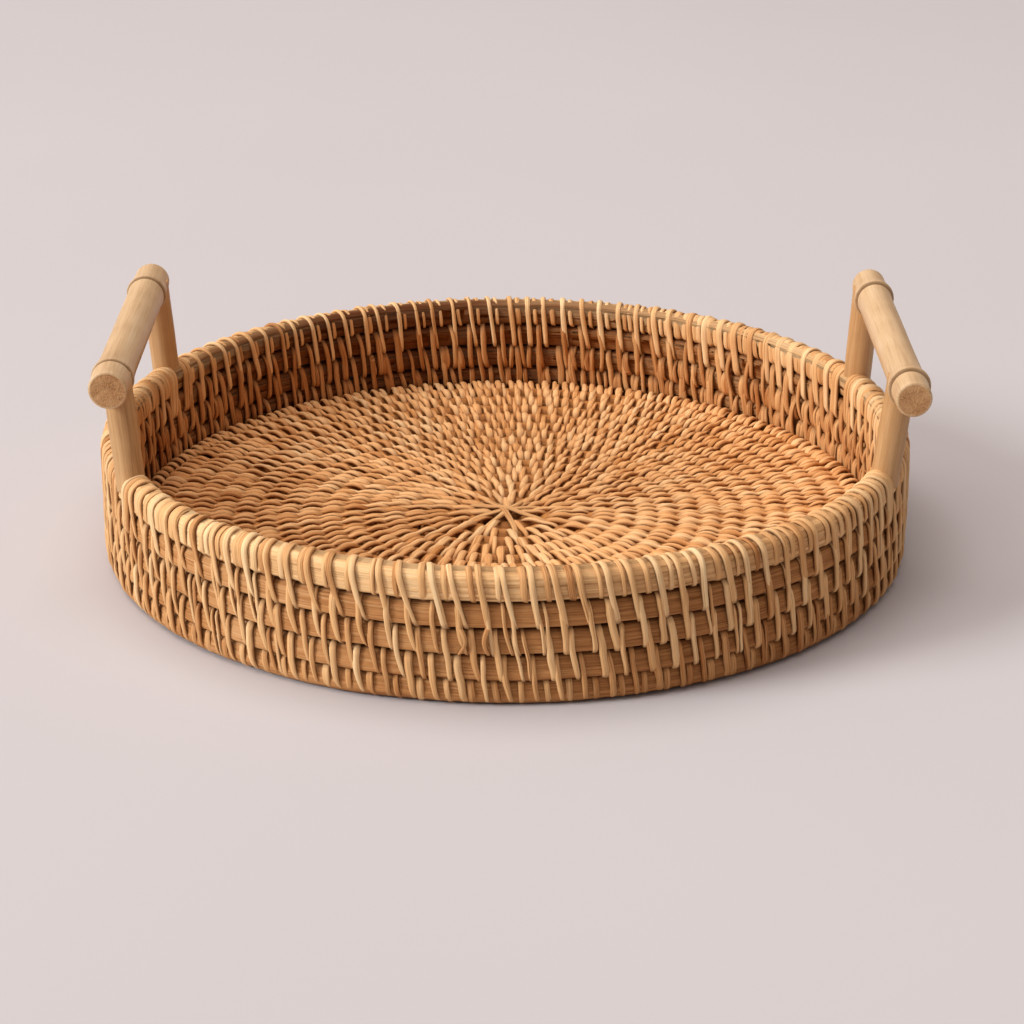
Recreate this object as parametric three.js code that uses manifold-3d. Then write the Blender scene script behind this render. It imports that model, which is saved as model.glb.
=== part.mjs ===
// Round coiled-rattan serving tray with two raised cane handles.
// Millimetres, +Z up. The origin is on the table plane, under the middle of the tray.
// +X points to the right-hand handle and -Y to the front.
//
// The wall is five rattan hoops stacked on each other. The floor is one long coil of thinner
// rattan in three spliced lengths. Split-cane strips bind all of it, and each bound run is
// drawn here as the plain sleeve that its strips fill. The posts stand on the rim hoop and
// carry the grip bars on round tenons.

import * as THREE from 'three';
import { mergeVertices } from 'three/addons/utils/BufferGeometryUtils.js';
import Module from 'manifold-3d';

const wasm = await Module();
wasm.setup();

// ---------- driving dimensions ----------

const trayRadius = 150;        // outer face of the bound wall
const wallThickness = 10.4;    // bound wall, outer face to inner face
const rowPitch = 9.45;         // one hoop and the strips under it
const rowCount = 5;            // rim hoop, three wall hoops, foot hoop
const stripThickness = 0.7;    // split-cane strip
const gap = 0.3;               // between pieces that touch
const hoopCorner = 2.4;        // rounding of the middle and foot hoops
const rimCorner = 3.6;         // the rim hoop has a rounder top and bottom
const scarfSlope = 14;         // degrees between a hoop and the cut that closes it
const scarfReach = 60;         // length of the scarf cutter, longer than the cut

const floorTop = 8.6;          // upper face of the bound floor
const floorBottom = 0.4;       // the floor hangs just clear of the table
const coilPitch = 8.2;         // radial step of the floor coil
const coilStart = 0.6;         // turns out from the centre where the coil begins
const coilEdgeGap = 1.02;      // the last turn ends this far inside the bound edge
const coilSplice = 0.01;       // turns between two spliced lengths of coil
const coilEyeRadius = 6;       // hole left under the middle by the binding strips
const starReach = 19;          // half length of a strip in the centre star
const starStripWidth = 2.2;
const starStripCount = 3;

const gripHeight = 80.7;       // height of the grip bar's axis
const gripNodeRadius = 7.7;    // ridge of a cane node
const grooveDepth = 0.9;       // leaf-scar groove beside each node
const grooveWidth = 1.0;
const nodeLength = 3.0;        // length of a node ridge
const nodeFade = 10;           // length over which a node fades into the cane
const endRound = 1.0;          // broken edge at the cut ends

const postRadius = 5.2;
const tenonRadius = 2.4;
const gripTenonPast = 1.5;     // how far a tenon passes the grip bar's axis
const rimTenonFloor = 1.75;    // rattan left under a tenon in the rim hoop
const footCheek = 2.8;         // how far a post's foot straddles the rim hoop
const bradRadius = 0.6;
const bradCover = 0.7;         // rattan left beyond a brad's point

const ringSides = 36;
const caneSides = 16;
const pinSides = 10;

// Both handles are fitted by eye, so each has its own post places and bar length.
const handles = [
  {
    name: 'left', side: -1, gripInset: 6.4, gripFront: -64.5, gripBack: 66.5,
    gripRadius: 6.7, gripEndRadius: 7.0, frontNodeInset: 12, backNodeInset: 21,
    posts: [
      { name: 'front', footY: -62, headY: -51 },
      { name: 'back', footY: 60, headY: 56 },
    ],
  },
  {
    name: 'right', side: 1, gripInset: 3.4, gripFront: -74, gripBack: 60,
    gripRadius: 6.4, gripEndRadius: 6.5, frontNodeInset: 12, backNodeInset: 21,
    posts: [
      { name: 'front', footY: -56, headY: -52 },
      { name: 'back', footY: 51, headY: 48 },
    ],
  },
];

// ---------- sizes that follow ----------

const wallHeight = rowCount * rowPitch;
const wallRadius = trayRadius - wallThickness / 2;
const hoopHalfWidth = wallThickness / 2 - stripThickness - gap;
const hoopHeight = rowPitch - stripThickness - 2 * gap;
const hoopHalfHeight = hoopHeight / 2;
const floorRadius = trayRadius - wallThickness - gap;
const coilRadius = (floorTop - floorBottom) / 2 - stripThickness - gap;
const coilEnd = (floorRadius - stripThickness - coilRadius - coilEdgeGap) / coilPitch;
const floorMiddle = (floorTop + floorBottom) / 2;
const rimRow = rowCount - 1;
const footRise = hoopHalfHeight - footCheek;    // a post's foot above the hoop's middle
const rimTenonDepth = hoopHeight - rimTenonFloor;
const bradLength = 2 * hoopHalfWidth - gap - bradCover;
const roundestCorner = Math.min(hoopHalfHeight, hoopHalfWidth) - gap;
const degree = Math.PI / 180;

// Rows are counted from the foot (0) to the rim. Strips pass over the top of every row but
// the foot, whose strips pass underneath.
function hoopCentre(row) {
  const bottomSkin = row === 0 ? stripThickness + gap : gap;
  return row * rowPitch + bottomSkin + hoopHalfHeight;
}

// ---------- materials ----------

function finish(colour, roughness, metalness = 0) {
  return new THREE.MeshStandardMaterial({ color: colour, roughness, metalness });
}

const rattanCore = finish(0xb9834c, 0.75);
const rattanStrip = finish(0xcf9c63, 0.6);
const floorStrip = finish(0xc08a55, 0.65);
const caneBar = finish(0xdcb785, 0.5);
const canePost = finish(0xcfa26c, 0.5);
const steel = finish(0x8c8c8a, 0.35, 1);

// ---------- solids ----------

function toSolid(geometry) {
  const bare = geometry.clone();
  bare.deleteAttribute('normal');
  bare.deleteAttribute('uv');
  const merged = mergeVertices(bare, 1e-4);
  const vertProperties = new Float32Array(merged.attributes.position.array);
  const triVerts = new Uint32Array(merged.index.array);
  return new wasm.Manifold(new wasm.Mesh({ numProp: 3, vertProperties, triVerts }));
}

function toGeometry(solid) {
  const { vertProperties, triVerts } = solid.getMesh();
  const geometry = new THREE.BufferGeometry();
  geometry.setAttribute('position', new THREE.Float32BufferAttribute(vertProperties, 3));
  geometry.setIndex(Array.from(triVerts));
  geometry.computeVertexNormals();
  return geometry;
}

function cornerOf(row) {
  return Math.min(row === rimRow ? rimCorner : hoopCorner, roundestCorner);
}

function cornerSteps(row) {
  return row === rimRow ? 2 : 1;
}

// A closed section, given clockwise as radius and height, turned about the vertical axis.
function turnedRing(section) {
  const closed = [...section, section[0]].reverse();
  return new THREE.LatheGeometry(closed, ringSides).rotateX(Math.PI / 2);
}

function arcPoints(cx, cy, radius, from, to, steps) {
  const points = [];
  for (let i = 0; i <= steps; i += 1) {
    const angle = from + ((to - from) * i) / steps;
    points.push(new THREE.Vector2(cx + radius * Math.cos(angle), cy + radius * Math.sin(angle)));
  }
  return points;
}

// Half of a rounded hoop section, from its inner side over the top to its outer side.
// grow swells it evenly, and reach is how far the two sides run down below the middle.
function archPoints(corner, steps, grow, reach, middle) {
  const half = hoopHalfWidth + grow;
  const top = middle + hoopHalfHeight + grow;
  const radius = corner + grow;
  return [
    new THREE.Vector2(wallRadius - half, middle - reach),
    ...arcPoints(wallRadius - half + radius, top - radius, radius, Math.PI, Math.PI / 2, steps),
    ...arcPoints(wallRadius + half - radius, top - radius, radius, Math.PI / 2, 0, steps),
    new THREE.Vector2(wallRadius + half, middle - reach),
  ];
}

function mirrored(points, middle) {
  return points.map((p) => new THREE.Vector2(p.x, 2 * middle - p.y)).reverse();
}

function hoopSection(corner, steps, grow, middle) {
  const upper = archPoints(corner, steps, grow, 0, middle).slice(1, -1);
  return [...upper, ...mirrored(upper, middle)];
}

// A thin slanted slab that opens a hoop at one angle, as two tapered ends lying together.
function scarfCutter(angle, middle) {
  const slab = new THREE.BoxGeometry(scarfReach, gap, 2 * rowPitch);
  slab.rotateZ(90 * degree - scarfSlope * degree);
  slab.translate(wallRadius, 0, middle);
  return toSolid(slab.rotateZ(angle));
}

function hoop(row, scarfAngle) {
  const middle = hoopCentre(row);
  const section = hoopSection(cornerOf(row), cornerSteps(row), 0, middle);
  const ring = toSolid(turnedRing(section));
  return ring.subtract(scarfCutter(scarfAngle * degree, middle));
}

// The sleeve that the strips of one row fill. It is open towards the next row's strips.
function sleeve(row) {
  const corner = cornerOf(row);
  const steps = cornerSteps(row);
  const middle = hoopCentre(row);
  const reach = hoopHalfHeight;
  const outside = archPoints(corner, steps, gap + stripThickness, reach, middle);
  const inside = archPoints(corner, steps, gap, reach, middle);
  const section = [...outside, ...inside.reverse()];
  return row === 0 ? mirrored(section, middle) : section;
}

// A cylinder between two points, lengthened past each of them.
function rod(radius, from, to, pastFrom, pastTo, sides) {
  const along = to.clone().sub(from).normalize();
  const start = from.clone().addScaledVector(along, -pastFrom);
  const end = to.clone().addScaledVector(along, pastTo);
  const geometry = new THREE.CylinderGeometry(radius, radius, start.distanceTo(end), sides);
  const turn = new THREE.Quaternion().setFromUnitVectors(new THREE.Vector3(0, 1, 0), along);
  geometry.applyQuaternion(turn);
  const middle = start.add(end).multiplyScalar(0.5);
  return geometry.translate(middle.x, middle.y, middle.z);
}

// The part of the tray between two directions, as a solid wedge for cutting rings.
function wedge(fromAngle, toAngle) {
  const reach = 2 * trayRadius;
  const shape = new THREE.Shape();
  shape.moveTo(0, 0);
  const steps = 8;
  for (let i = 0; i <= steps; i += 1) {
    const angle = fromAngle + ((toAngle - fromAngle) * i) / steps;
    shape.lineTo(reach * Math.cos(angle), reach * Math.sin(angle));
  }
  const options = { depth: 3 * wallHeight, bevelEnabled: false };
  return toSolid(new THREE.ExtrudeGeometry(shape, options).translate(0, 0, -wallHeight));
}

// ---------- floor coil ----------

class FloorSpiral extends THREE.Curve {
  constructor(fromTurn, toTurn) {
    super();
    this.fromTurn = fromTurn;
    this.toTurn = toTurn;
  }

  // The square root keeps the steps along the coil nearly even.
  getPoint(t, target = new THREE.Vector3()) {
    const turn = Math.sqrt(THREE.MathUtils.lerp(this.fromTurn ** 2, this.toTurn ** 2, t));
    const angle = turn * 2 * Math.PI;
    const radius = turn * coilPitch;
    return target.set(radius * Math.cos(angle), radius * Math.sin(angle), floorMiddle);
  }
}

// One length of coil, made of straight steps of nearly the given size.
function coilLength(fromTurn, toTurn, stepSize) {
  const length = Math.PI * coilPitch * (toTurn ** 2 - fromTurn ** 2);
  const steps = Math.round(length / stepSize);
  const path = new FloorSpiral(fromTurn, toTurn);
  path.arcLengthDivisions = 8 * steps;
  const section = new THREE.Shape(arcPoints(0, 0, coilRadius, 0, (5 / 3) * Math.PI, 5));
  return new THREE.ExtrudeGeometry(section, { steps, extrudePath: path });
}

// Upper and lower skin of the bound floor, joined round the edge and open under the eye.
function floorSkin() {
  const inner = floorRadius - stripThickness;
  return new THREE.LatheGeometry([
    new THREE.Vector2(0, floorTop - stripThickness),
    new THREE.Vector2(inner, floorTop - stripThickness),
    new THREE.Vector2(inner, floorBottom + stripThickness),
    new THREE.Vector2(coilEyeRadius, floorBottom + stripThickness),
    new THREE.Vector2(coilEyeRadius, floorBottom),
    new THREE.Vector2(floorRadius, floorBottom),
    new THREE.Vector2(floorRadius, floorTop),
    new THREE.Vector2(0, floorTop),
  ], ringSides).rotateX(Math.PI / 2);
}

function centreStar() {
  const arms = [];
  for (let i = 0; i < starStripCount; i += 1) {
    const strip = new THREE.BoxGeometry(2 * starReach, starStripWidth, stripThickness);
    strip.rotateZ((i * Math.PI) / starStripCount);
    strip.translate(0, 0, floorTop + gap + stripThickness / 2);
    arms.push(toSolid(strip));
  }
  return toGeometry(arms.reduce((whole, arm) => whole.add(arm)));
}

// ---------- handles ----------

function gripPlace(handle) {
  return handle.side * (wallRadius - handle.gripInset);
}

// Cane between two cut ends, with a node near each end. grow swells it evenly.
function gripSolid(handle, grow) {
  const { gripFront, gripBack, gripRadius, gripEndRadius } = handle;
  const body = gripRadius + grow;
  const end = gripEndRadius + grow;
  const node = gripNodeRadius + grow;
  const profile = [
    new THREE.Vector2(0, gripFront - grow),
    new THREE.Vector2(end - endRound, gripFront - grow),
    new THREE.Vector2(end, gripFront + endRound),
  ];
  const nodes = [
    { at: gripFront + handle.frontNodeInset, before: end },
    { at: gripBack - handle.backNodeInset, before: body },
  ];
  for (const { at, before } of nodes) {
    profile.push(
      new THREE.Vector2(before, at - grooveWidth / 2),
      new THREE.Vector2(before - grooveDepth, at),
      new THREE.Vector2(node, at + grooveWidth / 2),
      new THREE.Vector2(node, at + nodeLength),
      new THREE.Vector2(body, at + nodeLength + nodeFade),
    );
  }
  profile.push(
    new THREE.Vector2(body, gripBack - endRound),
    new THREE.Vector2(body - endRound, gripBack + grow),
    new THREE.Vector2(0, gripBack + grow),
  );
  const bar = new THREE.LatheGeometry(profile, caneSides);
  return toSolid(bar.translate(gripPlace(handle), 0, gripHeight));
}

// A post's axis runs from the middle of the rim hoop's section to the grip bar's axis.
function postAxis(handle, post) {
  const footX = Math.sqrt(wallRadius ** 2 - post.footY ** 2);
  return {
    foot: new THREE.Vector3(handle.side * footX, post.footY, hoopCentre(rimRow)),
    head: new THREE.Vector3(gripPlace(handle), post.headY, gripHeight),
  };
}

function tenonRod(axis, clearance) {
  const footDepth = rimTenonDepth - hoopHalfHeight + clearance;
  const headDepth = gripTenonPast + clearance;
  const radius = tenonRadius + clearance;
  return toSolid(rod(radius, axis.foot, axis.head, footDepth, headDepth, pinSides));
}

// The brad that pins a post's foot is driven towards the middle of the tray.
function bradEnds(axis) {
  const inward = new THREE.Vector3(-axis.foot.x, -axis.foot.y, 0).normalize();
  const outer = axis.foot.clone().addScaledVector(inward, gap - hoopHalfWidth);
  const inner = outer.clone().addScaledVector(inward, bradLength);
  return { outer, inner };
}

function bradBore(axis) {
  const { outer, inner } = bradEnds(axis);
  return toSolid(rod(bradRadius + gap, outer, inner, hoopHalfWidth, gap, pinSides));
}

function postSolid(handle, axis) {
  const rimSection = hoopSection(cornerOf(rimRow), cornerSteps(rimRow), gap, hoopCentre(rimRow));
  const rimTop = toSolid(turnedRing(rimSection));
  const shaft = toSolid(rod(postRadius, axis.foot, axis.head, -footRise, 0, caneSides));
  return shaft
    .subtract(gripSolid(handle, gap))
    .subtract(rimTop)
    .add(tenonRod(axis, 0))
    .subtract(bradBore(axis));
}

// ---------- assembly ----------

const tray = new THREE.Group();

function addPart(parent, name, geometry, material) {
  const mesh = new THREE.Mesh(geometry, material);
  mesh.name = name;
  parent.add(mesh);
}

const axes = [];
for (const handle of handles) {
  for (const post of handle.posts) {
    axes.push({ handle, name: `${handle.name}_${post.name}`, axis: postAxis(handle, post) });
  }
}

const hoopPlan = [
  { name: 'foot_hoop', scarf: 205 },
  { name: 'wall_hoop_lower', scarf: 62 },
  { name: 'wall_hoop_middle', scarf: 318 },
  { name: 'wall_hoop_upper', scarf: 150 },
];
hoopPlan.forEach(({ name, scarf }, row) => {
  addPart(tray, name, toGeometry(hoop(row, scarf)), rattanCore);
});

const rimScarf = 100;
let rimHoop = hoop(rimRow, rimScarf);
for (const { axis } of axes) {
  rimHoop = rimHoop.subtract(tenonRod(axis, gap)).subtract(bradBore(axis));
}
addPart(tray, 'rim_hoop', toGeometry(rimHoop), rattanCore);

addPart(tray, 'foot_binding', turnedRing(sleeve(0)), rattanStrip);
addPart(tray, 'wall_binding_lower', turnedRing(sleeve(1)), rattanStrip);
addPart(tray, 'wall_binding_middle', turnedRing(sleeve(2)), rattanStrip);
addPart(tray, 'wall_binding_upper', turnedRing(sleeve(3)), rattanStrip);

// The rim's strips stop at each post: two long runs and a short lashing under each handle.
const postAngles = {};
for (const { name, axis } of axes) {
  postAngles[name] = Math.atan2(axis.foot.y, axis.foot.x);
}
const fullTurn = 2 * Math.PI;
const rimRuns = [
  { name: 'rim_binding_front', from: postAngles.left_front, to: postAngles.right_front },
  { name: 'right_handle_lashing', from: postAngles.right_front, to: postAngles.right_back },
  { name: 'rim_binding_back', from: postAngles.right_back, to: postAngles.left_back },
  { name: 'left_handle_lashing', from: postAngles.left_back, to: postAngles.left_front + fullTurn },
];
const rimSleeve = toSolid(turnedRing(sleeve(rimRow)));
const halfButt = gap / 2 / wallRadius;
for (const { name, from, to } of rimRuns) {
  let run = rimSleeve.intersect(wedge(from + halfButt, to - halfButt));
  for (const { axis } of axes) {
    const recess = rod(postRadius + gap, axis.foot, axis.head, gap - footRise, 0, caneSides);
    run = run.subtract(toSolid(recess));
  }
  addPart(tray, name, toGeometry(run), rattanStrip);
}

const coilPlan = [
  { name: 'floor_coil_inner', from: coilStart, to: 5.7, stepSize: 13.8 },
  { name: 'floor_coil_middle', from: 5.7 + coilSplice, to: 11.4, stepSize: 29.9 },
  { name: 'floor_coil_outer', from: 11.4 + coilSplice, to: coilEnd, stepSize: 32 },
];
for (const { name, from, to, stepSize } of coilPlan) {
  addPart(tray, name, coilLength(from, to, stepSize), rattanCore);
}
addPart(tray, 'floor_stitching', floorSkin(), floorStrip);
addPart(tray, 'centre_star', centreStar(), rattanStrip);

for (const handle of handles) {
  const group = new THREE.Group();
  let bar = gripSolid(handle, 0);
  for (const { handle: owner, name, axis } of axes) {
    if (owner === handle) {
      bar = bar.subtract(tenonRod(axis, gap));
      addPart(group, `${name}_post`, toGeometry(postSolid(handle, axis)), canePost);
      const { outer, inner } = bradEnds(axis);
      addPart(group, `${name}_brad`, rod(bradRadius, outer, inner, 0, 0, pinSides), steel);
    }
  }
  addPart(group, `${handle.name}_grip_bar`, toGeometry(bar), caneBar);
  tray.add(group);
}

export default tray;
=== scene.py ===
# Round coiled-rattan serving tray: the looks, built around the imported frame. Metres, +Z up.
# The wall is five rattan rods laced with split strips, the floor is one long coil under two-coil
# stitches, and two cane bars stand on posts.

import math

import bpy
import numpy as np
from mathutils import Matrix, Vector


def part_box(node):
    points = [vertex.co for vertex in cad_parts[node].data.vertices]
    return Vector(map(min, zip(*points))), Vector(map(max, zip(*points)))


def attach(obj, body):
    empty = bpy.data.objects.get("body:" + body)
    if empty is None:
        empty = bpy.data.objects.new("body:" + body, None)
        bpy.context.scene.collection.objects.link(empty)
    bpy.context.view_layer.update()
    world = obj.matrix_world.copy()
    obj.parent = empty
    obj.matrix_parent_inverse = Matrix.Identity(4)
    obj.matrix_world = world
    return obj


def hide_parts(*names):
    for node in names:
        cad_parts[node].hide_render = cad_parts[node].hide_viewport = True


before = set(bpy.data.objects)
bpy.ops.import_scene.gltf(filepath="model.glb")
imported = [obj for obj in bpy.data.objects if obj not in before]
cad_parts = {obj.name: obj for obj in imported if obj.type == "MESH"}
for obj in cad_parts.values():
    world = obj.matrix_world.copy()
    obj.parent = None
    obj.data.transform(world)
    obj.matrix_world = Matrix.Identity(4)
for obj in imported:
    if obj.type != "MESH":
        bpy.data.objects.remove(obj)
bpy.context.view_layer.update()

MM = 0.001
TAU = 2 * math.pi

# ---------- sizes ----------

ROWS = ["rim_hoop", "wall_hoop_upper", "wall_hoop_middle", "wall_hoop_lower", "foot_hoop"]
LAST_ROW = len(ROWS) - 1
HOOP_WIDTH = 8.4 * MM  # a rod, inner face to outer face
ROD_HALF_HEIGHT = 4.4 * MM  # half the height that shows of a rod
ROD_LEAN = 1.2 * MM  # the lower edge of a rod stands out this far past its upper edge
ROD_STEPS = 432  # steps round a rod
RIM_CROWN = 1.0 * MM  # the rim's top rises this much inside its outer corner
RIM_CORNER = 2.4 * MM  # radius of the rim's upper corners
ROD_CORNER = 2.7 * MM  # and of the other rods'
SEAT_CORNER = 1.0 * MM  # radius of the lower corners, where a rod sits on the next
FOOT_CORNER = 2.8 * MM  # and of the foot's lower corners
INNER_OUT_OF_SHADE = 0.7  # painted shade on the inner faces: they keep this share of their colour, where the outer ones keep all of it

STITCH_COUNT = 112  # long stitches in one round
STITCH_WIDTH = 2.3 * MM
STITCH_THICK = 1.35 * MM
THIN_WRAP = 0.62  # a thin wrap's share of that thickness
TUCK = 2.6 * MM  # how deep a strip's end reaches into a gap between rods
OVER = 0.15 * MM  # a strip enters a gap this far above the rod under it
BENEATH = 0.35 * MM  # or this far below the rod over it
FOOT_SEAT = STITCH_THICK * 1.2  # height of a strip's back where it turns under the foot
FOOT_WRAP_SEAT = STITCH_THICK * 0.7
OUTER_STEPS = 18  # points along a long stitch outside,
INNER_STEPS = 15  # along one inside,
LOOP_STEPS = 11  # along a loop over one rod,
FOOT_STEPS = 24  # along a wrap round the foot,
RIM_STEPS = 26  # along one over the rim,
LACE_STEPS = 34  # and along one over the rim and the row under it
COURSE_STEP = 0.41  # each course starts this share of a stitch further round
LASH_PITCH = 4.4 * MM  # closer wraps between the two posts of a handle
PULL_AND_SHADOW_SIDE = math.radians(207)  # where round the wall the weaver pulled hardest; the floor's painted shadow from the left wall is centred on this side too
LOOSE_SIDE = math.radians(25)  # where the strips inside the wall are loosest
LOOSE_END = math.radians(264)  # where one strip end was left untrimmed
LOOSE_CURL = 3.2 * MM  # how far that end curls sideways
DARK_STRIPS = math.radians(304)  # where the darkest strips of the lowest course are
SHADED_INSIDE = math.radians(110)  # where round the inside of the wall painted shade is darkest, as that side faces away from the light

COIL_PITCH = 8.2 * MM
COIL_RADIUS = 3.1 * MM
COIL_FLAT = 1.24  # a pressed coil is this much wider than it is high
COIL_STEPS = 110  # steps in one turn
FLOOR_STITCH_PITCH = 4.9 * MM
FLOOR_STITCH_WIDTH = 2.8 * MM
FLOOR_RISE = 4.6 * MM  # the floor climbs this much to meet the wall
FLOOR_FLAT = 80 * MM  # radius within which it stays level
EDGE_STITCH = 3.0 * MM  # shortest stitch worth laying at the floor's edge
UNDER_THICK = 0.9 * MM  # stitches are pressed thinner under the floor
UNDER_CLEAR = 0.15 * MM  # and stay this far above the table

STAR_WIDTH = 2.5 * MM
STAR_THICK = 1.1 * MM
# Each strip of the star: share of a turn, millimetres off the middle, millimetres of bend.
STAR_STRIPS = [(0.07, 0.6, -2.0), (0.17, -1.0, 1.4), (0.31, 0.9, 1.8), (0.42, -0.5, -1.5)]

POST_RADIUS = 5.2 * MM
FOOT_WRAPS = [-6.9 * MM, -4.6 * MM, 4.6 * MM, 6.9 * MM]  # wraps that nestle a post's foot
POST_ROOM = 2.6 * MM  # plain strips keep this far from a post
LASH_ROOM = 1.2 * MM  # and the lashing this far

# Both bars have two nodes. The left one has a thicker front end.
FRONT_NODE = 12 * MM  # from the front end of a bar to its first node
BACK_NODE = 21 * MM  # from the back end to the second node
BAR_BODY = {"left": 6.7 * MM, "right": 6.4 * MM}
BAR_END = {"left": 7.0 * MM, "right": 6.4 * MM}
BAR_RIDGE = 7.7 * MM  # radius on the ridge beside a node
END_TAPER = 16 * MM  # past the front node, where the front end's radius fades out
NODE_GROOVE = 0.75 * MM  # depth of the leaf scar
FRONT_ROUND = 0.9 * MM  # the sawn front end is barely eased
BACK_ROUND = 2.0 * MM  # and the back end is rounded over this length
BACK_DROP = 2.2 * MM  # by this much


def middle_of(node, axis):
    lo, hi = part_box(node)
    return (lo[axis] + hi[axis]) / 2


row_z = [middle_of(name, 2) for name in ROWS]
row_pitch = (row_z[0] - row_z[-1]) / LAST_ROW
rod_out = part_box("rim_hoop")[1].x
rod_in = rod_out - HOOP_WIDTH
rod_mid = (rod_out + rod_in) / 2
floor_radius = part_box("floor_stitching")[1].x
floor_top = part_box("floor_stitching")[1].z
floor_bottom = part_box("floor_stitching")[0].z
floor_mid = (floor_top + floor_bottom) / 2


# ---------- mesh building ----------

def add_object(name, data):
    thing = bpy.data.objects.new(name, data)
    bpy.context.scene.collection.objects.link(thing)
    return thing


# Cross-sections of a strip: flat behind, crowned in front. Side runs -1 to 1, height 0 to 1.
SPLIT_SECTION = np.array([
    (-0.94, 0.0), (-1.0, 0.55), (-0.8, 0.88), (0.0, 1.0),
    (0.8, 0.88), (1.0, 0.55), (0.94, 0.0), (0.0, -0.1),
])
ROUND_SECTION = np.array([
    (-0.8, -0.1), (-1.0, 0.4), (-0.62, 0.85), (0.0, 1.0),
    (0.62, 0.85), (1.0, 0.4), (0.8, -0.1), (0.0, -0.3),
])


def grain_of(grid, along, across, seed):
    """Each point's place in its grain: millimetres along, millimetres across and a seed."""
    grain = np.empty(grid.shape)
    grain[..., 0] = along
    grain[..., 1] = across
    grain[..., 2] = seed
    return grain


class MeshPile:
    """Collects tubes and strips, and turns them into one mesh object."""

    def __init__(self):
        self.points = []
        self.grain = []
        self.tone_and_shade = []
        self.quads = []
        self.caps = []
        self.size = 0

    def add_grid(self, grid, grain, tone, edge=0.0, out_of_shade=1.0, close_along=False):
        """grid is (steps, sides, 3). It closes round its sides, and along its steps if asked.
        tone is the piece's paleness, lowered in places as painted shade; edge is 1 at the foot of cut
        sides, darkened as their own colour and as painted contact shade; and the mask after it is 0
        where painted shade fills a gap, a groove or a tucked end."""
        steps, sides = grid.shape[:2]
        index = np.arange(steps * sides).reshape(steps, sides) + self.size
        following = np.roll(index, -1, axis=1)
        if close_along:
            rows = [index, following, np.roll(following, -1, axis=0), np.roll(index, -1, axis=0)]
        else:
            rows = [index[:-1], following[:-1], following[1:], index[1:]]
        self.quads.append(np.stack(rows, axis=-1).reshape(-1, 4))
        if not close_along:
            self.caps.append(index[0][::-1])
            self.caps.append(index[-1])
        self.points.append(grid.reshape(-1, 3))
        self.grain.append(grain.reshape(-1, 3))
        tone_and_shade = np.empty((steps, sides, 3))
        tone_and_shade[..., 0] = tone
        tone_and_shade[..., 1] = edge
        tone_and_shade[..., 2] = out_of_shade
        self.tone_and_shade.append(tone_and_shade.reshape(-1, 3))
        self.size += steps * sides

    def add_strip(self, centre, outward, width, thick, tone, seed, out_of_shade, roll=0.0,
                  section=SPLIT_SECTION):
        """A strip along centre (steps, 3), lying with its back to -outward."""
        along = np.gradient(centre, axis=0)
        along /= np.linalg.norm(along, axis=1, keepdims=True)
        side = np.cross(along, outward)
        side /= np.linalg.norm(side, axis=1, keepdims=True)
        up = np.cross(side, along)
        side, up = (side * math.cos(roll) + up * math.sin(roll),
                    up * math.cos(roll) - side * math.sin(roll))
        half = (np.broadcast_to(width, len(centre)) / 2)[:, None, None]
        high = np.broadcast_to(thick, len(centre))[:, None, None]
        across = section[None, :, :1] * half
        rise = section[None, :, 1:] * high
        grid = centre[:, None, :] + side[:, None, :] * across + up[:, None, :] * rise
        run = np.concatenate([[0], np.cumsum(np.linalg.norm(np.diff(centre, axis=0), axis=1))])
        grain = grain_of(grid, run[:, None] / MM, across[..., 0] / MM, seed)
        # Darker down the strip's sides towards its back: the cut sides' own darker colour, with
        # painted contact shade where the strip meets what it lies on.
        edge = np.clip(1 - section[None, :, 1] / 0.8, 0, 1)
        self.add_grid(grid, grain, tone, edge, out_of_shade[:, None])

    def to_object(self, name, material):
        points = np.concatenate(self.points)
        quads = np.concatenate(self.quads)
        loops = [quads.ravel()] + [np.asarray(cap) for cap in self.caps]
        totals = np.concatenate([np.full(len(quads), 4), [len(cap) for cap in self.caps]])
        starts = np.concatenate([[0], np.cumsum(totals)[:-1]])
        corner = np.concatenate(loops)
        mesh = bpy.data.meshes.new(name)
        mesh.vertices.add(len(points))
        mesh.vertices.foreach_set("co", points.ravel())
        mesh.loops.add(len(corner))
        mesh.loops.foreach_set("vertex_index", corner.astype(np.int32))
        mesh.polygons.add(len(totals))
        mesh.polygons.foreach_set("loop_start", starts.astype(np.int32))
        mesh.polygons.foreach_set("loop_total", totals.astype(np.int32))
        mesh.polygons.foreach_set("use_smooth", np.arange(len(totals)) < len(quads))
        mesh.update(calc_edges=True)
        for label, values in (("grain", self.grain), ("tone_and_shade", self.tone_and_shade)):
            layer = mesh.attributes.new(label, "FLOAT_VECTOR", "POINT")
            layer.data.foreach_set("vector", np.concatenate(values).ravel())
        mesh.materials.append(material)
        return add_object(name, mesh)


def place(piece, slot, *nodes):
    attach(piece, "root")
    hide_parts(*nodes)


def smooth_line(points, samples, passes=2):
    """A polyline resampled at even steps, with its corners eased."""
    points = np.asarray(points, float)
    lengths = np.linalg.norm(np.diff(points, axis=0), axis=1)
    run = np.concatenate([[0], np.cumsum(lengths)])
    at = np.linspace(0, run[-1], samples)
    line = np.stack([np.interp(at, run, points[:, i]) for i in range(points.shape[1])], axis=1)
    for _ in range(passes):
        line[1:-1] = (line[:-2] + 2 * line[1:-1] + line[2:]) / 4
    return line


def around(radius, angle, height):
    """Points from cylindrical coordinates."""
    return np.stack([radius * np.cos(angle), radius * np.sin(angle), height], axis=-1)


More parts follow.
